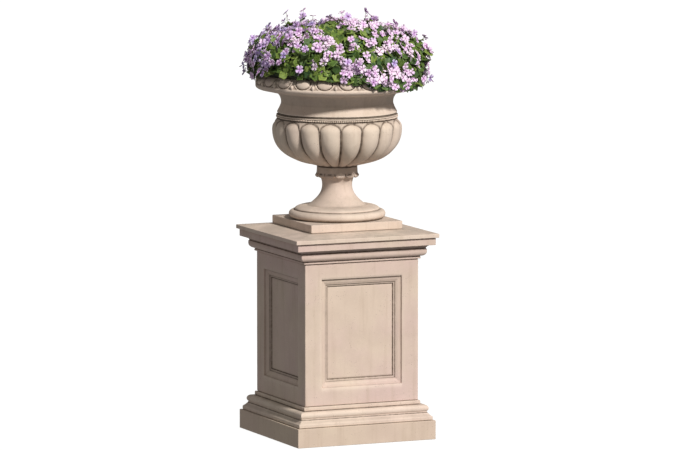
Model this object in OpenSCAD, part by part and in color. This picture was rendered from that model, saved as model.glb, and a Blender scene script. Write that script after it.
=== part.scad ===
// Planted gadrooned garden urn on a panelled square pedestal.
// Millimetres, +Z up, origin on the ground under the centre of the pedestal.

/* [Pedestal] */
// Side of the square plinth block
plinth_side = 540; // [500:5:580]
// Height of the plinth block
plinth_h = 68.5; // [50:0.5:90]
// Height of the moulding above the plinth
base_h = 68.5; // [60:0.5:80]
// Side of the square die
die_side = 443; // [420:1:460]
// Height of the die
die_h = 511; // [460:1:700]
// Height of the cornice, from the die to the coping
cornice_h = 76; // [70:1:84]
// Side of the coping slab
cap_side = 558; // [545:1:600]
// Thickness of the coping at its edge
cap_edge_h = 14; // [10:1:20]
// Rise of the weathered coping from its edge to the urn seat
cap_rise = 11.3; // [6:0.1:16]
// Thickness of the mortar beds
bed_h = 2; // [1.5:0.5:3]
// Half side of the hollow inside the pedestal
hollow_half = 155; // [140:1:158]

/* [Panels] */
// Width of a recessed panel, outside its moulding
panel_w = 315; // [260:1:330]
// Height of a recessed panel, outside its moulding
panel_h = 392; // [340:1:400]
// Width of the sloping panel moulding
panel_frame_w = 31; // [20:1:40]
// Depth of the panel field below the face of the die
panel_depth = 20; // [12:1:24]
// Depth of the square step around the moulding
panel_step = 4; // [2:0.5:6]
// Height of the middle of a panel above the middle of the die
panel_lift = 3; // [0:0.5:6]

/* [Urn] */
// Side of the square slab under the urn
slab_side = 357; // [351:1:380]
// Height of the square slab
slab_h = 30; // [24:1:30]
// Largest radius of the gadrooned bowl
bowl_r = 235.4; // [230:0.2:238]
// Radius of the rim at its nosing
rim_r = 294.5; // [290:0.5:300]
// Number of gadroons round the bowl
gadroons = 18; // [12:1:24]
// Depth of the grooves between the gadroons
gadroon_depth = 15; // [6:1:16]
// Number of eggs round the rim
eggs = 22; // [16:1:26]
// Number of leaves round the collar
leaves = 12; // [10:1:16]
// Wall thickness of the bowl
bowl_wall = 28; // [24:1:32]

/* [Fixings] */
// Radius of the stainless dowels
dowel_r = 5; // [4:0.5:6]
// Length of the stainless dowels
dowel_len = 60; // [40:1:64]
// Outer radius of the hollow tie tube
tube_r = 10; // [8:0.5:11]
// Inner radius of the tie tube, which also drains the bowl
tube_bore_r = 6.5; // [4:0.5:7]
// Radius of the drain hole through the coping
drain_r = 15; // [12:0.5:18]

/* [Planting] */
// Largest radius of the mound of foliage
mound_r = 340; // [330:1:360]
// Height of the middle of the mound above the urn seat
mound_mid_z = 600; // [590:1:620]
// Height of the mound above that middle
mound_rise = 172; // [150:1:200]
// Radius of the middle plant
middle_r = 125; // [100:1:140]
// Height of the compost above the urn seat
compost_z = 515; // [505:1:520]
// Height of each root ball
root_h = 88; // [60:1:100]

/* [Hidden] */
$fn = 96;
eps = 0.5;
slack = 0.1;
stone = [0.84, 0.74, 0.65];
mortar = [0.58, 0.51, 0.44];
steel = [0.72, 0.73, 0.74];
leaf_green = [0.30, 0.42, 0.16];
soil = [0.16, 0.11, 0.08];
clay = [0.66, 0.36, 0.24];
pebble = [0.60, 0.56, 0.50];
felt = [0.55, 0.55, 0.52];
// heights of the courses
base_z = plinth_h + bed_h;
die_z = base_z + base_h + bed_h;
cornice_z = die_z + die_h + bed_h;
coping_z = cornice_z + cornice_h + bed_h;
seat_z = coping_z + cap_edge_h + cap_rise;
// set-back of the pointed mortar behind the faces
bed_inset = 3;
dowel_at = (hollow_half + die_side / 2) / 2;
downstand_h = 34;
downstand_half = hollow_half - 4;
base_half = plinth_side / 2 - 8;
coping_bed_half = cap_side / 2 - 20;
// the pins under the thin coping sit lower, so that they stop inside it
cap_pin_drop = cap_edge_h + 2;
seat_half = slab_side / 2 + 2;
// heights of the urn above its seat
slab_bed_h = 1.6;
foot_z = slab_h + slab_bed_h;
torus_r = 15;
torus_at = 159.7;
step_r = 153.6;
step_z = 64;
step_rise = 14;
ledge_r = 112.8;
stem_r = 54.2;
stem_z = 151;
collar_z = 190;
collar_top_z = 219.3;
collar_r = 77;
collar_taper = 2;
leaf_flare = 3;
skirt_wall = 9.5;
leaf_drop = 9;
bowl_z = 221.3;
bowl_mid_z = 363;
bowl_foot_r = 77;
bowl_power = 2.5;
shoulder_rise = 74;
shoulder_power = 2.08;
shoulder_z = 394.5;
band_r = 219;
band_z = 405;
joint_z = 409.5;
ring_z = 411.5;
ring_r = 216.2;
waist_r = 202.1;
waist_z = 451.2;
nosing_z = 512;
egg_z = 519;
egg_band_r = 30;
egg_band_h = 34;
egg_r = 15;
rim_z = egg_z + egg_band_h;
throat_r = waist_r - bowl_wall + 2;
rim_inner_r = rim_r - 44;
bowl_floor_z = bowl_z + 32;
tube_hole_r = tube_r + 1;
washer_r = 26;
washer_h = 3;
nut_r = 18;
nut_h = 12;
counterbore_h = washer_h + nut_h + 3;
tie_top_z = bowl_floor_z + washer_h + nut_h + 6;
tie_low_z = 2;
screen_z = tie_top_z + 0.5;
screen_h = 9;
screen_r = 44;
gravel_z = 290;
fleece_h = 2;
plant_gap = 1;
outer_plants = 6;
root_ring_r = 130;
root_r = 50;
crown_r = 12;
crown_h = 14;
floor_flat_r = 36;

// ---------- outlines ----------
function ellipse_arc(cx, cz, rx, rz, a0, a1, n) =
    [for (i = [0 : n]) let (a = a0 + (a1 - a0) * i / n) [cx + rx * cos(a), cz + rz * sin(a)]];

function power_arc(rx, cz, rz, p, a0, a1, n) =
    [for (i = [0 : n]) let (a = a0 + (a1 - a0) * i / n)
        [rx * pow(abs(cos(a)), 2 / p), cz + rz * sign(sin(a)) * pow(abs(sin(a)), 2 / p)]];

function both_sides(right) =
    concat(right, [for (i = [len(right) - 1 : -1 : 0]) [-right[i][0], right[i][1]]]);

// One mitred square course from the outline of its right side.
module square_course(right) {
    reach = 2 * plinth_side;
    intersection() {
        rotate([90, 0, 0]) translate([0, 0, -reach / 2])
            linear_extrude(reach) polygon(both_sides(right));
        rotate([90, 0, 90]) translate([0, 0, -reach / 2])
            linear_extrude(reach) polygon(both_sides(right));
    }
}

module hollow_cut(z, h) {
    translate([-hollow_half, -hollow_half, z - eps])
        cube([2 * hollow_half, 2 * hollow_half, h + 2 * eps]);
}

module at_corners() {
    for (x = [-1, 1], y = [-1, 1]) translate([x * dowel_at, y * dowel_at, 0]) children();
}

module dowel_holes(z) {
    at_corners() translate([0, 0, z - dowel_len / 2 - slack])
        cylinder(r = dowel_r + slack, h = dowel_len + 2 * slack, $fn = 32);
}

module mortar_bed(z, half) {
    color(mortar) difference() {
        translate([-half, -half, z]) cube([2 * half, 2 * half, bed_h]);
        hollow_cut(z, bed_h);
        dowel_holes(z + bed_h / 2);
    }
}

module dowels(z) {
    color(steel) at_corners() translate([0, 0, z + (bed_h - dowel_len) / 2])
        cylinder(r = dowel_r, h = dowel_len, $fn = 32);
}

// ---------- pedestal ----------
module plinth_block() {
    color(stone) difference() {
        translate([-plinth_side / 2, -plinth_side / 2, 0])
            cube([plinth_side, plinth_side, plinth_h]);
        hollow_cut(0, plinth_h);
        dowel_holes(plinth_h + bed_h / 2);
    }
}

module plinth_bed() mortar_bed(plinth_h, base_half - bed_inset);

module plinth_dowels() dowels(plinth_h);

// Fillet, hollow slope, ovolo and top fillet, from the bottom up.
function base_outline() =
    let (low = base_half, neck = low - 13, ovolo = low - 26, top = die_side / 2 + 6.5)
    concat(
        [[low, base_z], [low, base_z + 11.5], [low - 7, base_z + 15.8], [neck, base_z + 24.5]],
        [[neck, base_z + 27.5]],
        ellipse_arc(ovolo, base_z + 40, 14, 12.5, -50, 90, 9),
        [[top, base_z + 52.5], [top, base_z + base_h]]);

module base_moulding() {
    color(stone) difference() {
        square_course(base_outline());
        hollow_cut(base_z, base_h);
        dowel_holes(plinth_h + bed_h / 2);
        dowel_holes(die_z - bed_h / 2);
    }
}

module base_bed() mortar_bed(die_z - bed_h, die_side / 2 - bed_inset);

module base_dowels() dowels(die_z - bed_h);

module panel_layer(depth, w, h) {
    translate([-w / 2, depth - die_side / 2 - eps, die_z + die_h / 2 + panel_lift - h / 2])
        cube([w, eps, h]);
}

// Recess of one panel: a square step and a sloping moulding down to the field.
module panel_recess() {
    hull() {
        panel_layer(0, panel_w, panel_h);
        panel_layer(panel_step, panel_w, panel_h);
    }
    hull() {
        panel_layer(panel_step, panel_w - 2 * panel_step, panel_h - 2 * panel_step);
        panel_layer(panel_depth, panel_w - 2 * panel_frame_w, panel_h - 2 * panel_frame_w);
    }
}

module die() {
    color(stone) difference() {
        translate([-die_side / 2, -die_side / 2, die_z]) cube([die_side, die_side, die_h]);
        hollow_cut(die_z, die_h);
        for (side = [0 : 3]) rotate([0, 0, 90 * side]) panel_recess();
        dowel_holes(die_z - bed_h / 2);
        dowel_holes(cornice_z - bed_h / 2);
    }
}

module die_bed() mortar_bed(cornice_z - bed_h, die_side / 2 - bed_inset);

module die_dowels() dowels(cornice_z - bed_h);

// Fillet, ovolo, undercut cavetto and fascia, from the bottom up.
function cornice_outline() =
    let (low = die_side / 2 + 7, ovolo = die_side / 2 + 24, fascia = cap_side / 2 - 9.5, z = cornice_z)
    concat(
        [[low, z], [low, z + 7]],
        ellipse_arc(low, z + 27, ovolo - low, 17, -84, 0, 6),
        [[ovolo, z + 36]],
        ellipse_arc(fascia - 6, z + 37, fascia - 3 - ovolo, 14, 180, 90, 5),
        [[fascia, z + 51], [fascia, z + cornice_h]]);

module cornice() {
    color(stone) difference() {
        square_course(cornice_outline());
        hollow_cut(cornice_z, cornice_h);
        dowel_holes(cornice_z - bed_h / 2);
        dowel_holes(coping_z - bed_h / 2 - cap_pin_drop);
    }
}

module cornice_bed() mortar_bed(coping_z - bed_h, coping_bed_half);

module cornice_dowels() dowels(coping_z - bed_h - cap_pin_drop);

module cap_slab() {
    half = cap_side / 2;
    color(stone) difference() {
        union() {
            square_course([[half, coping_z], [half, coping_z + cap_edge_h], [seat_half, seat_z]]);
            translate([-downstand_half, -downstand_half, coping_z - downstand_h])
                cube([2 * downstand_half, 2 * downstand_half, downstand_h + eps]);
        }
        dowel_holes(coping_z - bed_h / 2 - cap_pin_drop);
        translate([0, 0, coping_z - downstand_h - eps])
            cylinder(r = drain_r, h = downstand_h + cap_edge_h + cap_rise + 2 * eps);
    }
}

// ---------- urn ----------
module foot_slab() {
    color(stone) translate([0, 0, seat_z]) difference() {
        translate([-slab_side / 2, -slab_side / 2, 0]) cube([slab_side, slab_side, slab_h]);
        translate([0, 0, -eps]) cylinder(r = tube_hole_r, h = slab_h + 2 * eps);
        translate([0, 0, -eps]) cylinder(r = washer_r + 2, h = counterbore_h + eps);
    }
}

module ring_bed(z, h, r, bore) {
    color(mortar) translate([0, 0, seat_z + z]) difference() {
        cylinder(r = r, h = h);
        translate([0, 0, -eps]) cylinder(r = bore, h = h + 2 * eps);
    }
}

module slab_bed() ring_bed(slab_h, foot_z - slab_h, torus_at - 6, tube_hole_r);

// Torus, stepped disc, swept stem and flared head, from the bottom up.
function foot_outline() =
    let (sweep = 10, flare = 4, sweep_z = step_z + step_rise)
    concat(
        [[tube_hole_r, foot_z]],
        ellipse_arc(torus_at, foot_z + torus_r, torus_r, torus_r, -90, 90, 12),
        ellipse_arc(ledge_r, step_z, step_r - ledge_r, step_rise, 0, 90, 6),
        [for (i = [0 : sweep]) let (t = i / sweep)
            [stem_r + (ledge_r - 6 - stem_r) * pow(1 - t, 2.1), sweep_z + (stem_z - sweep_z) * t]],
        [for (i = [1 : flare]) let (t = i / flare)
            [stem_r + (collar_r - 10 - stem_r) * t * t, stem_z + (collar_z - stem_z) * t]],
        [[tube_hole_r, collar_z]]);

module foot() {
    color(stone) translate([0, 0, seat_z]) rotate_extrude() polygon(foot_outline());
}

module leaf_bite(r) {
    translate([0, 0, collar_z - leaf_drop - 2]) rotate([0, 90, 0]) cylinder(r = r, h = 2 * collar_r, $fn = 32);
}

// A drum whose lower edge is cut into hanging leaf tips.
module leaf_collar() {
    tip_r = collar_r + leaf_flare;
    skirt_z = collar_z - leaf_drop;
    color(stone) translate([0, 0, seat_z]) difference() {
        union() {
            translate([0, 0, collar_z])
                cylinder(r1 = collar_r, r2 = collar_r - collar_taper, h = collar_top_z - collar_z);
            translate([0, 0, skirt_z])
                cylinder(r1 = tip_r - collar_taper, r2 = tip_r, h = leaf_drop + leaf_flare);
        }
        translate([0, 0, collar_z - eps]) cylinder(r = tube_hole_r, h = collar_top_z);
        translate([0, 0, skirt_z - eps]) cylinder(r = collar_r - skirt_wall, h = leaf_drop + eps);
        for (i = [0 : leaves - 1]) rotate([0, 0, 360 * (i + 0.5) / leaves])
            leaf_bite(PI * tip_r / leaves * 0.4);
    }
}

module bowl_bed() ring_bed(collar_top_z, bowl_z - collar_top_z, bowl_foot_r - 8, tube_hole_r);

// Inside of the bowl going down, drawn in by a clearance.
function cavity_outline(gap) =
    let (r = bowl_r - bowl_wall - gap)
    concat(
        [[throat_r - gap, joint_z - 12]],
        power_arc(r, bowl_mid_z, shoulder_rise - bowl_wall - gap, 2, 30, 0, 3),
        power_arc(r, bowl_mid_z, bowl_mid_z - bowl_floor_z - gap, 2.3, -20, -78, 5));

// Right half of the bowl's section: outside going up, then inside coming down.
function bowl_outline() =
    concat(
        [[tube_hole_r, bowl_z], [bowl_foot_r, bowl_z + 0.4]],
        power_arc(bowl_r, bowl_mid_z, bowl_mid_z - bowl_z, bowl_power, -74, 0, 12),
        power_arc(bowl_r, bowl_mid_z, shoulder_rise, shoulder_power, 9, 25.5, 3),
        [[band_r - 5, shoulder_z], [band_r - 5, shoulder_z + 2], [band_r, shoulder_z + 6]],
        [[band_r - 4, band_z], [band_r, band_z + 1], [band_r, joint_z], [throat_r, joint_z]],
        cavity_outline(0),
        [[floor_flat_r, bowl_floor_z], [tube_hole_r, bowl_floor_z]]);

// Share of the full groove depth at a height: none at the shoulder or at the collar.
function groove_share(r, z) =
    (z > shoulder_z - 6 || r < bowl_foot_r + 1) ? 0
        : min(1, (r - bowl_foot_r) / 70, (shoulder_z - 4 - z) / 12);

// The outside of the outline, drawn in by the gadroon grooves at one share of the way across a lobe.
function grooved(outline, outer_points, across) =
    [for (j = [0 : len(outline) - 1]) let (p = outline[j], grooved = j < outer_points)
        [p[0] - (grooved ? gadroon_depth * groove_share(p[0], p[1]) * pow(abs(across), 2.4) : 0), p[1]]];

function turned(p, a) = [p[0] * cos(a), p[0] * sin(a), p[1]];

// One ring of points for each turn step, joined into a closed body.
module lobed_revolve(outline, outer_points, steps_per_lobe) {
    n = gadroons * steps_per_lobe;
    m = len(outline);
    points = [for (i = [0 : n - 1]) let (across = 2 * (i % steps_per_lobe) / steps_per_lobe - 1)
        for (p = grooved(outline, outer_points, across)) turned(p, 360 * i / n + 180 / gadroons)];
    faces = [for (i = [0 : n - 1], j = [0 : m - 1])
        let (a = i * m + j, b = i * m + (j + 1) % m, k = (i + 1) % n * m, c = k + (j + 1) % m, d = k + j)
        for (tri = [[a, b, c], [a, c, d]]) tri];
    polyhedron(points, faces);
}

module bowl() {
    outer_points = 19;
    color(stone) translate([0, 0, seat_z]) lobed_revolve(bowl_outline(), outer_points, 4);
}

module rim_bed() ring_bed(joint_z, ring_z - joint_z, ring_r - 4, throat_r);

// Cavetto neck, swept underside, nosing, egg band and the inside of the rim.
function ring_outline() =
    let (edge_z = ring_z + 6, cove = 6)
    concat(
        [[throat_r, ring_z], [ring_r, ring_z], [ring_r, edge_z]],
        [for (i = [1 : cove]) let (t = i / cove)
            [waist_r + (ring_r - waist_r) * pow(1 - t, 1.4), edge_z + (waist_z - edge_z) * t]],
        ellipse_arc(waist_r + 29, waist_z, 29, 38, 180, 90, 7),
        [[rim_r - 19, 499.5]],
        ellipse_arc(rim_r - 19, nosing_z, 19, nosing_z - 500, -75, 0, 5),
        [[rim_r, egg_z]],
        ellipse_arc(rim_r - egg_band_r - 1, egg_z, egg_band_r, egg_band_h, 0, 90, 8),
        [[rim_inner_r, rim_z], [rim_inner_r - 6, rim_z - 22], [rim_inner_r - 26, rim_z - 46]],
        [[throat_r + 14, rim_z - 62], [throat_r, waist_z + 10]]);

// One egg of the rim, on +X.
module egg() {
    lean = 34;
    sunk = 13;
    translate([rim_r - egg_band_r + (egg_band_r - sunk) * cos(lean), 0,
        egg_z + (egg_band_h - sunk) * sin(lean) + 4]) sphere(r = egg_r, $fn = 24);
}

module neck_ring() {
    color(stone) translate([0, 0, seat_z]) {
        rotate_extrude() polygon(ring_outline());
        for (i = [0 : eggs - 1]) rotate([0, 0, 360 * (i + 0.5) / eggs]) egg();
    }
}

module tie_tube() {
    color(steel) translate([0, 0, seat_z + tie_low_z]) difference() {
        cylinder(r = tube_r, h = tie_top_z - tie_low_z, $fn = 48);
        translate([0, 0, -eps]) cylinder(r = tube_bore_r, h = tie_top_z, $fn = 48);
    }
}

module drilled_disc(z, r, h, sides) {
    translate([0, 0, seat_z + z]) difference() {
        cylinder(r = r, h = h, $fn = sides);
        translate([0, 0, -eps]) cylinder(r = tube_r + slack, h = h + 2 * eps, $fn = 48);
    }
}

module tie_washers() {
    color(steel) {
        drilled_disc(counterbore_h - washer_h, washer_r, washer_h, 48);
        drilled_disc(bowl_floor_z, washer_r, washer_h, 48);
    }
}

module tie_nuts() {
    color(steel) {
        drilled_disc(counterbore_h - washer_h - nut_h, nut_r, nut_h, 6);
        drilled_disc(bowl_floor_z + washer_h, nut_r, nut_h, 6);
    }
}

// ---------- filling ----------
// The inside of the bowl and neck, from the top of the compost down to the floor, less a clearance.
function filling_outline() =
    let (gap = 1.5)
    concat(
        [[0, compost_z], [rim_inner_r - 22, compost_z], [rim_inner_r - 29, rim_z - 46]],
        [[throat_r + 12, rim_z - 61.5], [throat_r - gap, waist_z + 10]],
        cavity_outline(gap),
        [[floor_flat_r - 2, bowl_floor_z + 2], [0, bowl_floor_z + 2]]);

module filling(z0, z1) {
    translate([0, 0, seat_z]) intersection() {
        rotate_extrude() polygon(filling_outline());
        translate([-mound_r, -mound_r, z0]) cube([2 * mound_r, 2 * mound_r, z1 - z0]);
    }
}

// A crock laid upside down over the top of the tie tube, with four gaps under its edge.
module drain_screen() {
    wall = 6;
    draw_in = 14;
    color(clay) translate([0, 0, seat_z + screen_z]) difference() {
        cylinder(r1 = screen_r, r2 = screen_r - draw_in, h = screen_h);
        translate([0, 0, -eps])
            cylinder(r1 = screen_r - wall, r2 = screen_r - wall - draw_in, h = screen_h - 4 + eps);
        for (i = [0 : 3]) rotate([0, 0, 90 * i]) translate([30, -4, -eps]) cube([20, 8, 3 + eps]);
    }
}

module gravel() {
    well_h = screen_z + screen_h - bowl_floor_z + 0.8;
    color(pebble) difference() {
        filling(bowl_floor_z, gravel_z);
        translate([0, 0, seat_z + bowl_floor_z - eps]) cylinder(r = screen_r + 2, h = well_h + 2 * eps);
    }
}

module fleece() color(felt) filling(gravel_z, gravel_z + fleece_h);

module root_ball(grow) {
    translate([0, 0, seat_z + compost_z + slack - root_h - grow])
        cylinder(r1 = root_r * 0.76 + grow, r2 = root_r + grow, h = root_h + grow, $fn = 48);
}

module compost() {
    color(soil) difference() {
        filling(gravel_z + fleece_h, compost_z);
        root_ball(eps);
        for (i = [0 : outer_plants - 1]) rotate([0, 0, 360 * i / outer_plants])
            translate([root_ring_r, 0, 0]) root_ball(eps);
    }
}

// ---------- planting ----------
// Section of the mound: over the compost, over the rim, down to the skirt and round the dome.
function mound_outline(skirt_z) =
    let (over = rim_z + 1, out_r = rim_r + 4.5)
    concat(
        [[0, compost_z + slack], [rim_inner_r - 22, compost_z + slack]],
        [[rim_inner_r - 10, rim_z - 20], [rim_inner_r - 3, over + 2], [rim_r - egg_band_r + 6, over + 3]],
        [[rim_r - 1.5, egg_z + 29], [out_r, egg_z + 17], [out_r, skirt_z], [mound_r - 18, skirt_z]],
        power_arc(mound_r, mound_mid_z, mound_mid_z - skirt_z, 2.6, -18, -6, 2),
        power_arc(mound_r, mound_mid_z, mound_rise, 2.6, 0, 90, 12));

module plant_middle() {
    color(leaf_green) {
        translate([0, 0, seat_z]) rotate_extrude() intersection() {
            polygon(mound_outline(egg_z + 11));
            square([middle_r - plant_gap, 3 * mound_r]);
        }
        root_ball(0);
    }
}

// One sixth of the outer mound, with its root ball and the crown that joins the two.
module outer_plant(index, skirt_z) {
    span = 360 / outer_plants - 1;
    color(leaf_green) rotate([0, 0, 360 / outer_plants * index]) {
        translate([0, 0, seat_z]) rotate([0, 0, -span / 2]) rotate_extrude(angle = span) difference() {
            polygon(mound_outline(skirt_z));
            translate([-eps, 0]) square([middle_r + eps, 3 * mound_r]);
        }
        translate([root_ring_r, 0, 0]) root_ball(0);
        translate([root_ring_r + 20, 0, seat_z + compost_z - crown_h / 2])
            cylinder(r = crown_r, h = crown_h);
    }
}

module plant_right() outer_plant(0, egg_z - 18);
module plant_back_right() outer_plant(1, egg_z);
module plant_back_left() outer_plant(2, egg_z);
module plant_left() outer_plant(3, egg_z);
module plant_front_left() outer_plant(4, egg_z + 11);
module plant_front_right() outer_plant(5, egg_z - 25);

plinth_block();
plinth_bed();
plinth_dowels();
base_moulding();
base_bed();
base_dowels();
die();
die_bed();
die_dowels();
cornice();
cornice_bed();
cornice_dowels();
cap_slab();
foot_slab();
slab_bed();
foot();
leaf_collar();
bowl_bed();
bowl();
rim_bed();
neck_ring();
tie_tube();
tie_washers();
tie_nuts();
drain_screen();
gravel();
fleece();
compost();
plant_middle();
plant_right();
plant_back_right();
plant_back_left();
plant_left();
plant_front_left();
plant_front_right();
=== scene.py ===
"""Planted garden urn on a panelled pedestal: its looks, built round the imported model. +Z up."""
import bisect
import math
import random

import bpy
import numpy as np
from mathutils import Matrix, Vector, noise


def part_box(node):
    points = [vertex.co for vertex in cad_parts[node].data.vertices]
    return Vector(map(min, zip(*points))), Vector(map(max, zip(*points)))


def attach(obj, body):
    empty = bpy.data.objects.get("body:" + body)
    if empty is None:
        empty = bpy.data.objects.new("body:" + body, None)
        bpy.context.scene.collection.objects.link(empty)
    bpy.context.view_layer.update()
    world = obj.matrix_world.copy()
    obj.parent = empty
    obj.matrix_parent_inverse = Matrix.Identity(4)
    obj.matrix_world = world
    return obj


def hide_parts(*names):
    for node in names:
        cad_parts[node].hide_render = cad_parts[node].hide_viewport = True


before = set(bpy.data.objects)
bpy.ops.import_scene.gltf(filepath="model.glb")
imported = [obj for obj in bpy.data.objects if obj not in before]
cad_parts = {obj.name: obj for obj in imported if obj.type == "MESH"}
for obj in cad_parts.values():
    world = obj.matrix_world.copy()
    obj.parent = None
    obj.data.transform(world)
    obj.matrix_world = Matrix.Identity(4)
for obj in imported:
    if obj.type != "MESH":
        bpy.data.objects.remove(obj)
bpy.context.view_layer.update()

# shapes are worked out in millimetres, and make_mesh turns them into metres
MM = 0.001

# ---- sizes from the frame


def low(node):
    """Lowest z of a CAD node."""
    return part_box(node)[0][2] / MM


def high(node):
    """Highest z of a CAD node."""
    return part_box(node)[1][2] / MM


def half(node):
    """Half width of a CAD node along X."""
    return (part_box(node)[1][0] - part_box(node)[0][0]) / 2 / MM


SEAT = low("foot_slab")
HOLLOW = 155
DRAIN_R = 15
TUBE_HOLE_R = half("tie_tube") + 1
BOWL_R = half("bowl")
RIM_R = half("neck_ring")
RIM_Z = high("neck_ring")
THROAT_R = half("tie_tube") + 166.1
MIDDLE_R = half("plant_middle")
GADROONS = 18
EGGS = 22
LEAF_TIPS = 12
CORNER = 2.4                  # radius of the upright arrises of the square courses
ARRIS = 1.8                   # radius of the level arrises
SWELL, CHIPS = 0.22, 2.2      # unevenness of the casting, and depth of the dents in its arrises
OUTER_PLANTS = ("plant_right", "plant_back_right", "plant_back_left",
                "plant_left", "plant_front_left", "plant_front_right")
PLANTS = ("plant_middle", *OUTER_PLANTS)

# ---- small helpers


def clamp(value):
    """A number or an array held between 0 and 1."""
    return np.clip(value, 0, 1)


def bell(distance, reach):
    """1 at no distance, falling away smoothly over the reach."""
    return np.exp(-(distance / reach) ** 2)


def run(points):
    """How far along an open outline each of its points lies."""
    return np.concatenate([[0], np.cumsum(np.hypot(*np.diff(points, axis=0).T))])


def even_angles(count):
    """Angles all the way round."""
    return np.arange(count) * 2 * math.pi / count


# ---- outlines, as arrays of (r, z)


def arc(cx, cz, rx, rz, start, end, steps):
    """Points on an ellipse between two angles in degrees."""
    a = np.radians(np.linspace(start, end, steps + 1))
    return np.stack([cx + rx * np.cos(a), cz + rz * np.sin(a)], 1)


def power_arc(rx, cz, rz, power, start, end, steps):
    """Points on a superellipse about the axis between two angles in degrees."""
    a = np.radians(np.linspace(start, end, steps + 1))
    r = rx * np.abs(np.cos(a)) ** (2 / power)
    z = cz + rz * np.sign(np.sin(a)) * np.abs(np.sin(a)) ** (2 / power)
    return np.stack([r, z], 1)


def join(*parts):
    """One outline from several, with doubled points left out."""
    points = np.concatenate([np.atleast_2d(np.asarray(p, float)) for p in parts])
    keep = [points[0]]
    for p in points[1:]:
        if np.hypot(*(p - keep[-1])) > 0.05:
            keep.append(p)
    return np.array(keep)


def off(r, z, *steps):
    """Points given as steps from (r, z)."""
    return [(r + dr, z + dz) for dr, dz in steps]


def soften(points, radius):
    """Rounds the sharp corners of a closed outline."""
    n = len(points)
    out = []
    for i, p in enumerate(points):
        a, b = points[i - 1] - p, points[(i + 1) % n] - p
        la, lb = np.hypot(*a), np.hypot(*b)
        turn = math.degrees(math.acos(np.clip(-np.dot(a, b) / (la * lb), -1, 1)))
        if turn < 24:
            out.append(p)
            continue
        r = min(radius, 0.42 * la, 0.42 * lb)
        start, end = p + a / la * r, p + b / lb * r
        if la > 3 * r:
            out.append(p + a / la * r * 1.6)
        for t in (0.0, 0.25, 0.5, 0.75, 1.0):
            out.append((1 - t) ** 2 * start + 2 * t * (1 - t) * p + t * t * end)
        if lb > 3 * r:
            out.append(p + b / lb * r * 1.6)
    return np.array(out)


def divide(points, longest):
    """A closed outline with no stretch longer than that."""
    out = []
    for p, q in zip(points, np.roll(points, -1, 0)):
        steps = max(1, math.ceil(np.hypot(*(q - p)) / longest))
        out += [p + (q - p) * k / steps for k in range(steps)]
    return np.array(out)


def outward(points):
    """Unit normals of a closed outline that runs upward on its outside."""
    along = np.roll(points, -1, 0) - np.roll(points, 1, 0)
    normal = np.stack([along[:, 1], -along[:, 0]], 1)
    return normal / np.maximum(np.linalg.norm(normal, axis=1, keepdims=True), 1e-9)


# ---- meshes


def ring_faces(rows, columns):
    """Quads of a grid whose rows and columns both wrap round."""
    j, i = [g.ravel() for g in np.meshgrid(np.arange(rows), np.arange(columns), indexing="ij")]
    j2, i2 = (j + 1) % rows, (i + 1) % columns
    return np.stack([j * columns + i, j * columns + i2, j2 * columns + i2, j2 * columns + i], 1)


def tube_faces(rows, columns):
    """Quads of a grid whose columns wrap round."""
    return ring_faces(rows, columns)[:(rows - 1) * columns].tolist()


def capped_tube(rows, columns):
    """Faces of a closed tube."""
    ring = list(range(columns))
    return tube_faces(rows, columns) + [ring[::-1], [(rows - 1) * columns + k for k in ring]]


def put_values(mesh, attributes):
    """Float attributes on the points of a mesh."""
    for key, values in attributes.items():
        layer = mesh.attributes.new(key, "FLOAT", "POINT")
        layer.data.foreach_set("value", np.asarray(values, np.float32))


def get_values(items, key, width, kind=float):
    """One property of all the items, as rows of an array."""
    values = np.empty(len(items) * width, kind)
    items.foreach_get(key, values)
    return values.reshape(-1, width)


def make_mesh(name, points, faces, material, attributes=None):
    """A smooth mesh object from points in millimetres, with float attributes on them."""
    mesh = bpy.data.meshes.new(name)
    mesh.from_pydata((np.asarray(points, float) * MM).tolist(), [], [[int(k) for k in f] for f in faces])
    mesh.validate()
    put_values(mesh, attributes or {})
    mesh.polygons.foreach_set("use_smooth", [True] * len(mesh.polygons))
    mesh.materials.append(material)
    obj = bpy.data.objects.new(name, mesh)
    bpy.context.scene.collection.objects.link(obj)
    return obj


def finish_piece(obj, body, nodes):
    """Puts a piece on its body, in place of its CAD nodes."""
    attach(obj, body)
    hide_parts(*nodes)
    return obj


def neighbours_mean(values, edges, count):
    """Mean over each point's neighbours."""
    total = np.zeros(values.shape)
    np.add.at(total, edges[:, 0], values[edges[:, 1]])
    np.add.at(total, edges[:, 1], values[edges[:, 0]])
    return total / (count[:, None] if values.ndim > 1 else count)


def fractal(points, scale, octaves, seed):
    """Noise from about -1 to 1 at each point."""
    shift = Vector((seed * 3.1, seed * 1.7, seed * 5.3))
    return np.array([noise.fractal(Vector(p) * scale + shift, 0.9, 2.0, octaves) for p in points])


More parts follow.
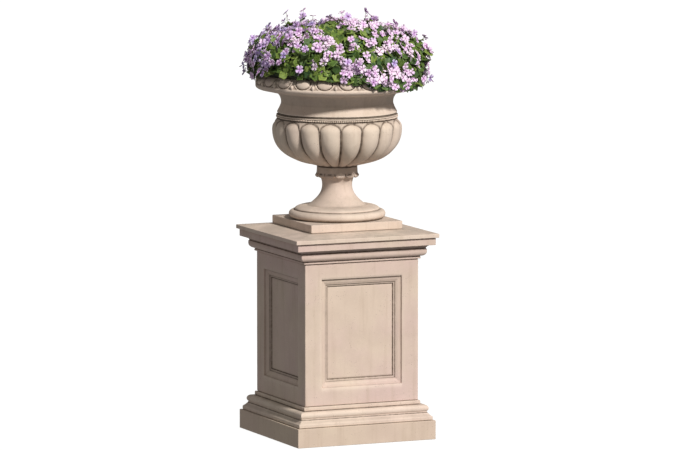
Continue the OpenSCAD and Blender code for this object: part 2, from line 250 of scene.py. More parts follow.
def weather(obj, seed, shade_and_dirt, crevice=0.6):
    """Makes a casting uneven, dents its arrises, and marks where it is worn, and where its creases and
    recesses are darkened by grime and painted shade.
    """
    mesh = obj.data
    co = get_values(mesh.vertices, "co", 3)
    edges = get_values(mesh.edges, "vertices", 2, int)
    normals = get_values(mesh.vertex_normals, "vector", 3)
    count = np.maximum(np.bincount(edges.ravel(), minlength=len(co)), 1)
    pull = neighbours_mean(co, edges, count) - co
    span = neighbours_mean(np.linalg.norm(pull, axis=1), edges, count) + 0.8 * MM
    bend = -np.einsum("ij,ij->i", pull, normals) / span
    bend = 0.5 * bend + 0.5 * neighbours_mean(bend, edges, count)
    worn = clamp(bend * 2.2)
    # concave creases and the given recesses are darkened: painted shade, with grime
    grime_and_shade = clamp(-bend * 3.4 - 0.05)
    grime_and_shade = clamp(grime_and_shade * crevice + shade_and_dirt.ravel())
    broad = fractal(co, 14, 3, seed)
    fine = fractal(co, 90, 2, seed + 7)
    bite = clamp(fractal(co, 42, 2, seed + 13) - 0.25) * worn
    co += normals * (SWELL * (0.6 * broad + 0.4 * fine) - CHIPS * bite)[:, None] * MM
    mesh.vertices.foreach_set("co", co.ravel())
    put_values(mesh, {"worn": worn, "grime_and_shade": grime_and_shade})
    mesh.update()


# ---- square courses


def side_steps(count):
    """Places along a side from -1 to 1, closer together near its ends."""
    t = np.linspace(-1, 1, count + 1)
    return 0.35 * np.sin(t * math.pi / 2) + 0.65 * t


def square_rings(outline, corner, steps):
    """Rings of a square course: each outline point is (half width, z). Returns rows x columns x 3."""
    bend = np.radians(np.linspace(-90, 0, 6))[1:-1]
    t = np.concatenate([steps, np.ones(len(bend))])
    ax = np.concatenate([0 * steps, np.cos(bend)])
    ay = np.concatenate([0 * steps - 1, np.sin(bend)])
    flat = outline[:, :1] - corner
    x = t * flat + ax * corner
    y = -flat + ay * corner
    sides = []
    for c, s in ((1, 0), (0, 1), (-1, 0), (0, -1)):
        sides.append(np.stack([c * x - s * y, s * x + c * y], 2))
    xy = np.concatenate(sides, 1)
    z = np.broadcast_to(outline[:, 1:], xy.shape[:2])
    return np.concatenate([xy, z[..., None]], 2)


def round_hole(rings, radius):
    """Turns the rows nearest the axis into a round hole of that radius."""
    inner = np.abs(rings[:, 0, 1]) < 1.5 * radius
    flat = rings[inner]
    away = np.linalg.norm(flat[..., :2], axis=2, keepdims=True)
    flat[..., :2] *= radius / away
    rings[inner] = flat
    return rings


def square_course(name, outline, material, seed, body="pedestal", hole=None, shade_and_dirt_spots=()):
    """A square course from the closed outline of its section, darkened by painted shade and dirt at (half
    width, z, reach).
    """
    outline = divide(soften(np.asarray(outline, float), ARRIS), 14)
    shade_and_dirt = np.zeros(len(outline))
    for r, z, reach in shade_and_dirt_spots:
        shade_and_dirt = np.maximum(shade_and_dirt, bell(np.hypot(*(outline - [r, z]).T), reach))
    rings = square_rings(outline, CORNER, side_steps(72))
    if hole:
        rings = round_hole(rings, hole)
    rows, columns = rings.shape[:2]
    obj = make_mesh(name + "_looks", rings.reshape(-1, 3), ring_faces(rows, columns), material)
    weather(obj, seed, np.repeat(shade_and_dirt, columns))
    finish_piece(obj, body, [name])


def box_section(inner, outer, bottom, top):
    """Section of a plain square course with a hollow."""
    return [(inner, bottom), (outer, bottom), (outer, top), (inner, top)]


def plinth(material):
    """The low block on the ground."""
    section = box_section(HOLLOW, half("plinth_block"), low("plinth_block"), high("plinth_block"))
    square_course("plinth_block", section, material, 1)


def base_moulding(material):
    """Fillet, cove, ovolo and top fillet over the plinth."""
    z, top, reach = low("base_moulding"), high("base_moulding"), half("base_moulding")
    cove, head = reach - 13, half("die") + 6.5
    section = join(
        [(HOLLOW, z)], off(reach, z, (0, 0), (0, 11.5), (-4, 14.6), (-8.6, 18.8)),
        off(cove, z, (0.4, 24.2), (-1.6, 25.0), (-1.6, 27.2)),
        arc(cove - 12, z + 40.6, 14, 13.4, -52, 84, 12),
        off(head, z, (1, 53.2), (-2, 53.7), (-2, 56.0), (0, 56.7)), [(head, top), (HOLLOW, top)])
    # the quirks under the cove's fillet and under the top fillet are darkened: painted shade, with dirt
    shade_and_dirt_spots = [(cove - 1.6, z + 26.1, 2.2), (head - 2, z + 54.8, 2.6)]
    square_course("base_moulding", section, material, 2, shade_and_dirt_spots=shade_and_dirt_spots)


def cornice(material):
    """Fillet, ovolo, undercut cove and fascia."""
    z, top, fascia = low("cornice"), high("cornice"), half("cornice")
    fillet, ovolo = half("die") + 7, half("die") + 24
    section = join(
        [(HOLLOW, z)], off(fillet, z, (0, 0), (0, 6.6), (-2.2, 7.4), (-2.2, 9.6)),
        arc(fillet, z + 27, ovolo - fillet, 17, -84, 0, 10),
        [(ovolo, z + 36), (ovolo - 3, z + 37)],
        arc(fascia - 6, z + 37, fascia - 3 - ovolo, 14, 180, 90, 9),
        [(fascia, z + 51), (fascia, top), (HOLLOW, top)])
    # the quirk under the fillet and the undercut below the fascia are darkened: painted shade, with dirt
    shade_and_dirt_spots = [(fillet - 2.2, z + 8.5, 2.6), (ovolo - 3, z + 38, 3)]
    square_course("cornice", section, material, 3, shade_and_dirt_spots=shade_and_dirt_spots)


def coping(material):
    """The thin weathered slab over the cornice, with its downstand and drain hole."""
    bed, seat = high("cornice_bed"), half("foot_slab") + 2
    low_z, edge, reach = low("cap_slab"), half("cap_slab"), HOLLOW - 4
    section = [(DRAIN_R, low_z), (reach, low_z), (reach, bed), (edge, bed), (edge, bed + 14), (seat, SEAT),
               (DRAIN_R, SEAT)]
    # the seat round the urn's slab is darkened: painted contact shadow, with grime in the joint
    square_course("cap_slab", section, material, 4, hole=DRAIN_R, shade_and_dirt_spots=[(seat - 1, SEAT, 1.3)])


def foot_slab(material):
    """The square slab under the urn, with the hole for the tie."""
    reach = half("foot_slab")
    section = [(TUBE_HOLE_R, SEAT), (reach - 2.5, SEAT), (reach, SEAT + 2.5), (reach, high("foot_slab")),
               (TUBE_HOLE_R, high("foot_slab"))]
    # the slab's bottom edge is darkened: painted contact shadow
    square_course("foot_slab", section, material, 5, "urn", TUBE_HOLE_R, [(reach - 2.5, SEAT, 1.3)])


# ---- the panelled die

PANEL_HALF_W = 157.5
PANEL_HALF_H = 196
PANEL_LIFT = 3
# inset from the panel's edge and depth below the face
PANEL_MOULDING = (
    (0, 0), (0.5, 0.5), (1.1, 2.4), (1.6, 6), (3, 7.2), (5.5, 7.8), (8, 8.5), (10.5, 9.1),
    (13, 10), (15, 11.2), (17, 12.4), (19, 13.2), (21, 13.8), (21.8, 15.2), (22.2, 17), (24.5, 17.2),
    (27, 17.2), (27.8, 18.8), (28.4, 21.4), (29.4, 22.4), (30.4, 21.2), (31.5, 20.4), (36, 20.3))
# painted shade and dirt in the corners of the panel's moulding: inset, reach and how much
PANEL_SHADE_AND_DIRT = ((2.0, 1.6, 0.12), (21.6, 1.4, 0.75), (27.6, 1.1, 0.5), (29.4, 1.5, 1.0))


def panel_lines(reach, panel):
    """Grid lines across a face from -reach to reach, with every line of the moulding among them."""
    margin = np.linspace(-reach, -panel, 7)[:-1]
    moulding = -panel + np.array([s for s, _ in PANEL_MOULDING])
    field = np.linspace(moulding[-1], -moulding[-1], 19)[1:-1]
    return np.concatenate([margin, moulding, field, -moulding[::-1], -margin[::-1]])


def panel_inset(x, z):
    """How far inside the panel's edge a point of the face is, in millimetres."""
    return np.minimum(PANEL_HALF_W - np.abs(x), PANEL_HALF_H - np.abs(z))


def mitred_faces(rows, columns, inset_x, inset_z, first_row, side_columns):
    """Faces of the die, with the quads on a mitre cut along it."""
    faces = []
    for face in ring_faces(rows, columns):
        j, i = divmod(int(face[0]), columns)
        jj, k = j - first_row, i % side_columns
        if 0 <= jj < len(inset_z) - 1 and k < len(inset_x) - 1 and inset_x[k:k + 2].min() > -1e-6:
            a, b = abs(inset_x[k] - inset_z[jj]), abs(inset_x[k + 1] - inset_z[jj + 1])
            c, d = abs(inset_x[k + 1] - inset_z[jj]), abs(inset_x[k] - inset_z[jj + 1])
            if max(a, b) < 1e-6:
                faces += [face[[0, 1, 2]], face[[0, 2, 3]]]
                continue
            if max(c, d) < 1e-6:
                faces += [face[[0, 1, 3]], face[[1, 2, 3]]]
                continue
        faces.append(face)
    return faces


def die(material):
    """The square shaft with a moulded panel on each side."""
    face, bottom, top = half("die"), low("die"), high("die")
    middle = (bottom + top) / 2 + PANEL_LIFT
    z_lines = panel_lines(top - middle - 1.6 * ARRIS, PANEL_HALF_H)
    z_lines[z_lines < -PANEL_HALF_H] *= (middle - bottom - 1.6 * ARRIS) / (top - middle - 1.6 * ARRIS)
    z_lines = middle + z_lines
    below = arc(face - ARRIS, bottom + ARRIS, ARRIS, ARRIS, -90, 0, 4)
    above = arc(face - ARRIS, top - ARRIS, ARRIS, ARRIS, 0, 90, 4)
    bridge = np.array([(HOLLOW + (face - HOLLOW) * k, 1.0) for k in (0.0, 0.25, 0.5, 0.75)])
    wall = np.linspace(top, bottom, 28)[1:-1]
    outline = np.concatenate([
        bridge * [1, bottom], below, np.stack([0 * z_lines + face, z_lines], 1), above,
        bridge[::-1] * [1, top], np.stack([0 * wall + HOLLOW, wall], 1)])
    first_row = len(bridge) + len(below)
    flat = face - CORNER
    x_lines = panel_lines(flat, PANEL_HALF_W)
    rings = square_rings(outline, CORNER, x_lines / flat)
    rows, columns = rings.shape[:2]
    side_columns = columns // 4
    depth_at = np.array(PANEL_MOULDING).T
    zz, xx = np.meshgrid(z_lines - middle, x_lines, indexing="ij")
    depth = np.interp(panel_inset(xx, zz), depth_at[0], depth_at[1], left=0)
    shade_and_dirt = np.zeros((rows, columns))
    block = slice(first_row, first_row + len(z_lines))
    for k, (nx, ny) in enumerate(((0, -1), (1, 0), (0, 1), (-1, 0))):
        cols = slice(k * side_columns, k * side_columns + len(x_lines))
        rings[block, cols, 0] -= nx * depth
        rings[block, cols, 1] -= ny * depth
        inset = panel_inset(xx, zz)
        shade_and_dirt[block, cols] = sum(dirt_and_shade * bell(inset - at, reach) for at, reach, dirt_and_shade in PANEL_SHADE_AND_DIRT)
        # a line under the panel's top ledge is darkened: painted shadow, with dirt
        shade_under_ledge = (zz > 0) & (PANEL_HALF_H - zz < PANEL_HALF_W - np.abs(xx))
        shade_and_dirt[block, cols] += 0.5 * shade_under_ledge * bell(inset - 2.0, 1.8)
    inset_x = (PANEL_HALF_W - np.abs(x_lines))
    inset_z = (PANEL_HALF_H - np.abs(z_lines - middle))
    faces = mitred_faces(rows, columns, inset_x, inset_z, first_row, side_columns)
    obj = make_mesh("die_looks", rings.reshape(-1, 3), faces, material)
    weather(obj, 6, clamp(shade_and_dirt), crevice=0.18)
    finish_piece(obj, "pedestal", ["die"])


# ---- turned pieces of the urn


def swept(r, z, angles):
    """Points of a grid from each one's distance from the axis and height."""
    return np.stack([r * np.cos(angles), r * np.sin(angles), z], 2).reshape(-1, 3)


def turned(name, r, z, angles, material, seed, shade_and_dirt, crevice=0.6):
    """A closed turned piece of the urn, with its painted shade and dirt."""
    obj = make_mesh(name + "_looks", swept(r, z, angles), ring_faces(*r.shape), material)
    weather(obj, seed, shade_and_dirt, crevice)
    finish_piece(obj, "urn", [name])


def lathe(name, outline, angles, material, seed, rise, shade_and_dirt, crevice=0.6):
    """A turned piece from its outline. rise is each row's and column's height above the outline."""
    normal = outward(outline)
    r, z = [outline[:, k:k + 1] + rise * normal[:, k:k + 1] for k in (0, 1)]
    turned(name, r, z, angles, material, seed, shade_and_dirt, crevice)


def foot(material):
    """Torus, stepped disc, swept stem and flared head."""
    z0, collar = low("foot"), high("foot")
    torus, step_z, sweep_z, stem_z = 15, SEAT + 64.5, SEAT + 78, SEAT + 151
    ledge, stem, head = 112.8, 54.2, 65.6
    reach = half("foot") - torus
    t = np.linspace(0, 1, 19)
    sweep = np.stack([stem + (ledge - 6 - stem) * (1 - t) ** 2.1, sweep_z + (stem_z - sweep_z) * t], 1)
    t = np.linspace(0, 1, 9)[1:]
    flare = np.stack([stem + (head - stem) * t * t, stem_z + (collar - stem_z) * t], 1)
    section = join(
        [(TUBE_HOLE_R, z0), (reach - 8, z0)],
        arc(reach, z0 + torus, torus, torus, -90, 90, 18),
        [(reach - 6, z0 + 2 * torus + 0.3), (reach - 7, step_z)],
        arc(ledge, step_z, reach - 6 - ledge, 13.7, 0, 90, 12),
        sweep, flare, [(TUBE_HOLE_R, collar)])
    outline = divide(section, 12)
    columns = 240
    shade_and_dirt = np.zeros((len(outline), columns))
    # a ring on the slab round the torus is darkened as painted contact shadow, and the step over the torus
    # as painted shade
    rings = (reach + 9, z0 + 1, 6.5, 1.0), (reach - 6.5, z0 + 2 * torus, 2.2, 0.7)
    for r, z, across, dirt_and_shade in rings:
        near = bell(np.hypot(*(outline - [r, z]).T), across)
        shade_and_dirt = np.maximum(shade_and_dirt, dirt_and_shade * near[:, None])
    lathe("foot", outline, even_angles(columns), material, 7, 0 * shade_and_dirt, shade_and_dirt, crevice=0.3)


def leaf_collar(material):
    """The plain drum under the bowl, with a ring of curled leaf tips below."""
    z0, top, reach = high("foot"), high("leaf_collar"), 75.2
    columns = LEAF_TIPS * 26
    angles = even_angles(columns)
    u = (angles * LEAF_TIPS / (2 * math.pi)) % 1 * 2 - 1
    tip = clamp(1 - np.abs(u) ** 2.6) ** 0.7
    v = np.linspace(0, 1, 34)[:, None]
    bottom = z0 - (1.0 + 10.0 * tip)
    z_out = bottom + (top - bottom) * v ** 1.15
    up = (z_out - z0)
    curl = 5.0 * bell(up + 3.5, 6.0) * (0.35 + 0.65 * tip) - 2.2 * v
    hollow = np.exp(-((up - 2.6) / 2.6) ** 2 - (u / 0.42) ** 4)
    crease = bell(np.abs(u) - 1, 0.085) * clamp((8 - up) / 6)
    under = clamp(1 - v / 0.10) ** 2
    r_out = reach + (curl - 2.4 * hollow - 2.6 * crease - 3.2 * under)
    skirt_r = reach - 8
    flat = np.ones((1, columns))
    r = np.concatenate([TUBE_HOLE_R * flat, (skirt_r - 2) * flat, skirt_r * flat, r_out[:1] - 3, r_out,
                        (reach - 14) * flat, TUBE_HOLE_R * flat, TUBE_HOLE_R * flat])
    z = np.concatenate([z0 * flat, z0 * flat, (z0 - 1) * flat, z_out[:1], z_out, top * flat, top * flat,
                        (z0 + top) / 2 * flat])
    dirt_and_shade = np.zeros(r.shape)
    # the drum, the hollows and creases of the leaf tips, the undersides of their lips and the rows under
    # the bowl are darkened: painted shade, with some dirt in the creases
    dirt_and_shade[4:4 + len(v)] = clamp(0.22 + 0.45 * hollow + 0.9 * crease + 0.8 * under + 0.85 * (v > 0.94))
    turned("leaf_collar", r, z, angles, material, 8, dirt_and_shade)


def lobe_relief(outline, last, angles, top):
    """Gadroon relief, with painted shade and dirt in its grooves and spandrels, for the first rows of an
    outline. The lobes end at row top.
    """
    rise, shade_and_dirt = np.zeros((2, len(outline), len(angles)))
    u = (angles * GADROONS / (2 * math.pi) + 0.5) % 1 * 2 - 1
    along = run(outline[:last])
    cap, side = 33.0, 0.965
    for j in range(last):
        r = outline[j][0]
        pitch = math.pi * r / GADROONS
        down = along[top] - along[j]
        ease = clamp(down / 60)
        share = clamp((r - 74) / 75) ** 0.7 * (0.30 + 0.70 * ease * ease * (3 - 2 * ease))
        depth, sunk = 16.5 * share, 3.0 * share
        q = np.hypot(u / side, max(0.0, cap - down) / cap)
        lobe = depth * (0.72 * q ** 2 + 0.28 * (1 - np.sqrt(clamp(1 - (0.97 * q) ** 2))) / 0.757)
        beyond = np.clip((q - 1) * min(pitch, cap), 0, 99)
        spandrel = sunk + (depth - sunk) * np.exp(-beyond / 2.4)
        dip = np.where(q < 1, lobe, spandrel) + 2.0 * share * bell((q - 1) * pitch, 1.6)
        rise[j] = -dip
        # the grooves round each lobe and the spandrels are darkened: painted shade, with dirt
        edge = bell((q - 1) * pitch, 2.6)
        near = 0.22 * clamp((q - 0.7) / 0.3) * (q < 1) + 0.30 * (q > 1.05)
        shade_and_dirt[j] = clamp(edge + near) * min(1, 0.35 + 0.65 * share + 0.5 * (down < 36))
    return rise, shade_and_dirt


def motif_angles(count, steps, shift, spread):
    """Angles for a motif repeated round the axis; spread places the steps from -1 to 1 over each."""
    u = spread(np.arange(steps) / steps * 2 - 1)
    return ((np.arange(count)[:, None] + shift + u / 2) * 2 * math.pi / count).ravel()


def bowl(material):
    """The gadrooned bowl, its plain band under the joint and its inside."""
    z0, joint = low("bowl"), high("bowl")
    mid, rise_up = SEAT + 363.1, 74
    foot_r, band_r, wall = 76, 219, 28
    lower = power_arc(BOWL_R, mid, mid - z0, 2.5, -74, 0, 54)
    upper = power_arc(BOWL_R, mid, rise_up, 2.08, 2, 22.5, 18)
    floor_z = z0 + 32
    outside = eased(join([(foot_r, z0 + 0.4)], lower, upper), 3, 36)
    rest = join(
        off(*outside[-1], (-0.8, 0.7), (-3.4, 0.9), (-9, 1.2)),
        off(band_r, joint, (-8.4, -14.6), (-6, -12.4), (-6, -7.4), (-5, -5.8), (-0.8, -5.3),
            (0, -4.7), (0, -2.2), (-2.4, -1.1), (-7, 0)),
        off(THROAT_R, joint, (0, 0), (0, -12)),
        power_arc(BOWL_R - wall, mid, rise_up - wall, 2, 30, 0, 4),
        power_arc(BOWL_R - wall, mid, mid - floor_z, 2.3, -12, -78, 9),
        [(36, floor_z), (TUBE_HOLE_R, floor_z), (TUBE_HOLE_R, z0)])
    outline = np.concatenate([outside, rest])
    angles = motif_angles(GADROONS, 26, 0.0, lambda k: np.sin(k * math.pi / 2))
    rise, shade_and_dirt = lobe_relief(outline, len(outside), angles, len(outside) - 1)
    # the shoulder step, the bed behind the beads, the fillet over them and the bottom by the foot are
    # darkened: painted shade; the rows under the joint are its dark joint line
    first = len(outside)
    shade_and_dirt[first:first + 7] = 1.0
    shade_and_dirt[first + 7] = 0.6
    shade_and_dirt[first + 10:first + 12] = 1.0
    shade_and_dirt[:3] = 0.9
    # the lower part of the bowl is darkened: painted shade
    low_shade = clamp((SEAT + 268 - outline[:first, 1]) / (40))
    shade_and_dirt[:first] = np.maximum(shade_and_dirt[:first], 0.20 * low_shade[:, None])
    lathe("bowl", outline, angles, material, 9, rise, shade_and_dirt)


def eased(points, step, passes):
    """An open outline with even steps, its bends eased by that many passes."""
    along = run(points)
    at = np.linspace(0, along[-1], round(along[-1] / step) + 1)
    out = np.stack([np.interp(at, along, points[:, k]) for k in (0, 1)], 1)
    for _ in range(passes):
        out[1:-1] = (out[:-2] + 2 * out[1:-1] + out[2:]) / 4
    return out


def ball(steps=6, sides=8):
    """Points and faces of a small closed ball of radius 1."""
    lat = np.linspace(-90, 90, steps + 1)[1:-1]
    points = [(0, 0, -1)]
    for a in np.radians(lat):
        for b in even_angles(sides):
            points.append((math.cos(a) * math.cos(b), math.cos(a) * math.sin(b), math.sin(a)))
    points.append((0, 0, 1))
    faces = [[1 + k for k in face] for face in tube_faces(len(lat), sides)]
    last = len(points) - 1
    for i in range(sides):
        k = (i + 1) % sides
        faces += [(0, 1 + k, 1 + i), (last - sides + i, last - sides + k, last)]
    return np.array(points), faces


def bead_string(material):
    """The string of cast beads in the bed above the gadroons."""
    count, radius = 200, 3.1
    at_r, at_z = 217.4, high("bowl") - 9.6
    shape, shape_faces = ball(8, 10)
    rng = random.Random(11)
    points, faces = [], []
    for k in range(count):
        a = 2 * math.pi * k / count
        size = radius * rng.uniform(0.92, 1.06)
        centre = np.array([at_r * math.cos(a), at_r * math.sin(a), at_z + rng.uniform(-0.25, 0.25)])
        first = len(points)
        points += list(centre + shape * [size, size, size * 1.04])
        faces += [[first + i for i in f] for f in shape_faces]
    # the backs of the beads, towards the bed, are darkened: painted shade; their fronts are marked as worn
    grime_and_shade = [clamp(0.9 - (math.hypot(p[0], p[1]) - at_r + 2.4) / 3.4) for p in points]
    obj = make_mesh("bead_string_looks", points, faces, material,
                    {"worn": [0.35 * (1 - g) for g in grime_and_shade], "grime_and_shade": grime_and_shade})
    finish_piece(obj, "urn", ["bowl"])


def egg_height(x, h, length):
    """Relief of the egg-and-dart band in millimetres, with its painted shade and dirt; x from the middle of
    an egg, h up the band.
    """
    half_w, round_h = 27.5, 24.0
    lift = h - 3.0
    dome = np.where(lift < round_h, np.hypot(x / half_w, (round_h - lift) / round_h), np.abs(x) / half_w)
    egg = np.sqrt(clamp(1 - dome ** 2)) * 8.2 - 5.2
    groove = -6.4 * bell(dome - 1.035, 0.05)
    shell = 2.6 * bell(dome - 1.19, 0.085)
    flat = np.where(dome > 1, -5.4, 0)
    from_dart = 40.7 - np.abs(x)
    dart = clamp(1 - (from_dart / 6.2) ** 2 - ((h - 9.5) / 9.5) ** 2) ** 0.5 * 8.6
    height = np.where(dome < 1, egg, flat) + groove * (dome > 0.94) + shell + dart * (dome > 1.12)
    fade = clamp(h / 2.5) * clamp((length - h) / 9)
    # the groove round each egg and the ground between the darts are darkened: painted shade, with dirt
    dirt_and_shade = 0.55 * bell(dome - 1.04, 0.06) + 0.25 * (dome > 1.32) * (dart < 0.5) * (h < 36)
    return height * fade, clamp(dirt_and_shade) * fade


def neck_ring(material):
    """Cavetto neck, swept underside, nosing, egg band and the inside of the rim."""
    z0 = low("neck_ring")
    ring, waist, waist_z = 216.2, 202.1, SEAT + 451.2
    nose_z, egg_z, inner = SEAT + 512, SEAT + 519, RIM_R - 44
    band = RIM_R - 30.5
    t = np.linspace(0, 1, 15)[1:]
    cove = np.stack([waist + (ring - waist) * (1 - t) ** 1.38, z0 + 6.6 + (waist_z - z0 - 6.6) * t], 1)
    under = join(
        [(THROAT_R, z0)], off(ring, z0, (-10, 0), (-6, 0), (-4.4, 2.2), (0, 4.0), (0, 6.6)),
        cove, arc(waist + 29.2, waist_z, 29.2, 38.2, 180, 90, 14),
        [(245, SEAT + 492.4), (260, SEAT + 495.7), (RIM_R - 19, SEAT + 499.4)],
        arc(RIM_R - 19, nose_z, 19, 12.4, -78, 0, 10))
    eggs = join([(RIM_R, egg_z - 2)], arc(band, egg_z, RIM_R - band, RIM_Z - egg_z, 0, 88, 30))
    inside = join(
        off(inner, RIM_Z, (2, 0), (0, -1.5), (-6, -22), (-26, -46)), [(THROAT_R + 14, RIM_Z - 62)],
        off(THROAT_R, waist_z, (0, 10), (0, -10)))
    outline = np.concatenate([under, eggs, inside])
    angles = motif_angles(EGGS, 34, 0.5, lambda k: np.sign(k) * (1 - (1 - np.abs(k)) ** 1.25))
    rise, shade_and_dirt = np.zeros((2, len(outline), len(angles)))
    shade_and_dirt[2:4] = 1.0
    height = run(eggs)
    x = ((angles * EGGS / (2 * math.pi)) % 1 * 2 - 1) * 40.7
    for k, h in enumerate(height, len(under)):
        rise[k], shade_and_dirt[k] = egg_height(x, h, height[-1])
    lathe("neck_ring", outline, angles, material, 10, rise, shade_and_dirt)


# ---- foliage

# height of the lowest leaves, going round from +X: degrees, millimetres above the seat
SKIRT = ((0, 520), (40, 528), (90, 538), (150, 545), (176, 552),
         (186, 571), (236, 570), (258, 556), (285, 518), (330, 512))
# scattered over the mound: how many, and how far apart at least
OUTER_LEAVES, INNER_LEAVES = (1500, 13.5), (560, 20)
HEADS, SINGLES, WISPS = (150, 28), (165, 22), (54, 50)
HIGH_UP, NEAR_TOP = 600, 690    # heights above the seat where wisps have leaves and are longer
RIM_GAP = 5                     # leaves hang this far clear of the rim
LEAF_STALK, HEAD_STALK, SINGLE_STALK, THIN_STALK = 0.9, 1.15, 0.7, 0.55
MOUND_R = 300
MOUND_RISE = 124
MOUND_MID = SEAT + 600
MOUND_POWER = 2.4
SECTIONS = {}


def skirt(phi):
    """Height of the lowest leaves at an angle round the urn."""
    degrees, height = np.array(SKIRT).T
    return SEAT + np.interp(math.degrees(phi) % 360, degrees, height, period=360)


def oval(phi):
    """How much wider than round the mound is at an angle."""
    return 1 + 0.032 * np.cos(2 * (phi - math.radians(158)))


def mound_section(phi):
    """The mound's outline at an angle, from the top down: (lengths along it, r, z)."""
    key = round(math.degrees(phi)) % 360
    if key not in SECTIONS:
        reach = MOUND_R * oval(phi)
        dome = power_arc(reach, MOUND_MID, MOUND_RISE, MOUND_POWER, 90, 0, 40)
        z = np.linspace(MOUND_MID, skirt(phi), 8)[1:]
        over_rim = np.interp(z, [RIM_Z - 8, RIM_Z + 16], [RIM_R + 7, reach])
        points = np.concatenate([dome, np.stack([over_rim, z], 1)])
        SECTIONS[key] = (run(points).tolist(), points[:, 0].tolist(), points[:, 1].tolist())
    return SECTIONS[key]


def mound_place(rng):
    """A random place on the mound, even by area: (point, way out, angle, height above the seat)."""
    while True:
        phi = rng.uniform(0, 2 * math.pi)
        lengths, rs, zs = mound_section(phi)
        s = rng.uniform(0, 520)
        if s >= lengths[-1]:
            continue
        k = bisect.bisect_right(lengths, s)
        size = max(lengths[k] - lengths[k - 1], 1e-9)
        share = (s - lengths[k - 1]) / size
        r, z = rs[k - 1] + (rs[k] - rs[k - 1]) * share, zs[k - 1] + (zs[k] - zs[k - 1]) * share
        if rng.uniform(0, 1.04 * MOUND_R) > r:
            continue
        point = radial(phi) * r + up(z)
        out = (radial(phi) * (zs[k - 1] - zs[k]) + up(rs[k] - rs[k - 1])) / size
        lump = 0 if z < MOUND_MID else 11 * noise.noise(point * 0.011)
        return point + out * lump, out, phi, z - SEAT


def scatter(rng, wanted, apart, keep=None, tries=60):
    """Places over the mound that are at least that far apart."""
    cells, places = {}, []
    for _ in range(wanted * tries):
        if len(places) == wanted:
            break
        place = mound_place(rng)
        if keep and rng.random() > keep(place):
            continue
        p = place[0]
        key = tuple(int(math.floor(c / apart)) for c in p)
        near = [q for x in (-1, 0, 1) for y in (-1, 0, 1) for z in (-1, 0, 1)
                for q in cells.get((key[0] + x, key[1] + y, key[2] + z), ())]
        if all((p - q).length > apart for q in near):
            cells.setdefault(key, []).append(p)
            places.append(place)
    return places


def plant_of(point):
    """The plant that a place on the mound belongs to."""
    if math.hypot(point.x, point.y) < MIDDLE_R:
        return "plant_middle"
    return OUTER_PLANTS[round(math.degrees(math.atan2(point.y, point.x)) / 60) % 6]


class Heap:
    """Many small closed shapes gathered into one mesh, with values on their points."""

    def __init__(self, *names):
        self.points, self.faces, self.values, self.count = [], [], {name: [] for name in names}, 0

    def add(self, points, faces, **values):
        """Adds one shape. Each value is one number or one for each point."""
        self.faces.append([[i + self.count for i in f] for f in faces])
        self.points.append(points)
        self.count += len(points)
        for name, store in self.values.items():
            store.append(np.broadcast_to(np.asarray(values.get(name, 0.0), float), len(points)))

    def build(self, name, material, nodes, slot):
        """The finished piece, on the urn."""
        faces = [f for group in self.faces for f in group]
        values = {key: np.concatenate(store) for key, store in self.values.items()}
        obj = make_mesh(name, np.concatenate(self.points), faces, material, values)
        return finish_piece(obj, "urn", nodes)


def blade(rows, thickness):
    """A thin closed solid from rows of points."""
    height, width = rows.shape[:2]
    top = rows.reshape(-1, 3)
    points = np.concatenate([top, top - [0, 0, thickness]])
    n = height * width
    faces = []
    for j in range(height - 1):
        for i in range(width - 1):
            a, b = j * width + i, (j + 1) * width + i
            faces += [(a, a + 1, b + 1, b), (n + a, n + b, n + b + 1, n + a + 1)]
    grid = np.arange(n).reshape(height, width)
    edge = [*grid[0], *grid[1:, -1], *grid[-1, -2::-1], *grid[-2:0:-1, 0]]
    for a, b in zip(edge, edge[1:] + edge[:1]):
        faces.append((b, a, n + a, n + b))
    return points, faces


def leaf_shape(rng):
    """A round leaf with five shallow lobes, cupped round its stalk. Radius about 1."""
    spokes, rings = 15, (0.42, 0.78, 1.0)
    cup, wave = rng.uniform(-0.10, 0.34), rng.uniform(0.03, 0.16)
    turn = rng.uniform(0, 2 * math.pi)
    points = [(0.0, 0.0, 0.0)]
    for ring in rings:
        for k in range(spokes):
            a = 2 * math.pi * k / spokes
            lobe = math.cos(5 * a)
            heart = math.exp(-(((a - math.pi + math.pi / 15) / 0.30) ** 2))
            r = ring * (1 + ring ** 3 * (0.15 * lobe - 0.34 * heart)) * rng.uniform(0.95, 1.05)
            z = cup * ring ** 2 + wave * ring * math.sin(2 * a + turn) + 0.05 * ring * ring * lobe
            points.append((r * math.cos(a), r * math.sin(a), z))
    top = np.array(points)
    n, edge = len(top), 1 + (len(rings) - 1) * spokes
    faces = []
    for a, b, c, d in tube_faces(len(rings), spokes):
        faces += [(1 + a, 1 + d, 1 + c, 1 + b), (n + 1 + a, n + 1 + b, n + 1 + c, n + 1 + d)]
    for k in range(spokes):
        m = (k + 1) % spokes
        faces += [(0, 1 + k, 1 + m), (n, n + 1 + m, n + 1 + k),
                  (edge + m, edge + k, n + edge + k, n + edge + m)]
    return np.concatenate([top, top - [0, 0, 0.035]]), faces


def petal_shape(width, notch, curl):
    """One petal along +X from a narrow claw to a broad tip. Length 1."""
    along = np.array([0.06, 0.32, 0.60, 0.84, 1.0])
    spread = np.array([0.10, 0.24, 0.42, 0.46, 0.26]) * width
    rows = []
    for a, s in zip(along, spread):
        row = []
        for c in (-1, 0, 1):
            x = a - (notch if c == 0 and a == 1.0 else 0)
            row.append((x, c * s, curl * a * a - 0.10 * (1 - abs(c)) * s + 0.02 * c))
        rows.append(row)
    return blade(np.array(rows), 0.035)


def turned_to(direction, spin):
    """A 3x3 array that takes +Z to a direction, after a spin about it."""
    z = Vector(direction).normalized()
    x = z.orthogonal().normalized()
    y = z.cross(x)
    c, s = math.cos(spin), math.sin(spin)
    return np.array([x * c + y * s, y * c - x * s, z])


